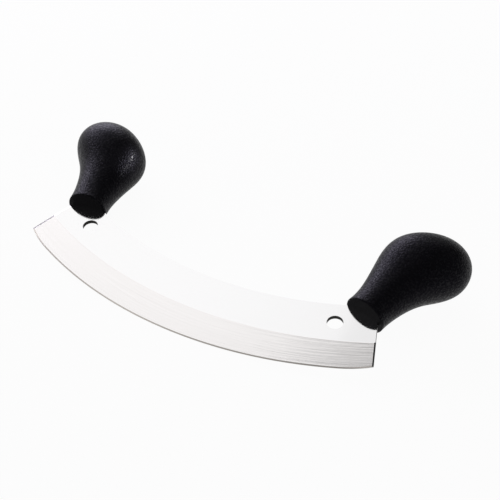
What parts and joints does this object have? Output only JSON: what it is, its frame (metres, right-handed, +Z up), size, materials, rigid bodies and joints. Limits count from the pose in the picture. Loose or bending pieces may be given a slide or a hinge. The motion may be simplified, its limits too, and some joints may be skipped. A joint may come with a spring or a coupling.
{
  "type": "mezzaluna",
  "caption": "Rocking herb chopper: a crescent steel blade with a ground edge, round hanging holes, and bulb-shaped plastic handles moulded on its tangs.",
  "frame": {"origin": "on the table, below the middle of the knife's box, as the knife lies on its edge and both bulbs", "axes": "+X along the blade from the left handle to the right, +Y from the cutting edge towards the handles, +Z up from the table"},
  "size_m": [0.2716, 0.1258, 0.0426],
  "materials": {
    "steel": "polished flats, grind with fine lines along the edge",
    "handle_plastic": "satin black with a fine moulded grain"
  },
  "bodies": {
    "root": {"blade": "steel", "handle_right": "handle_plastic", "handle_left": "handle_plastic"}
  },
  "joints": []
}
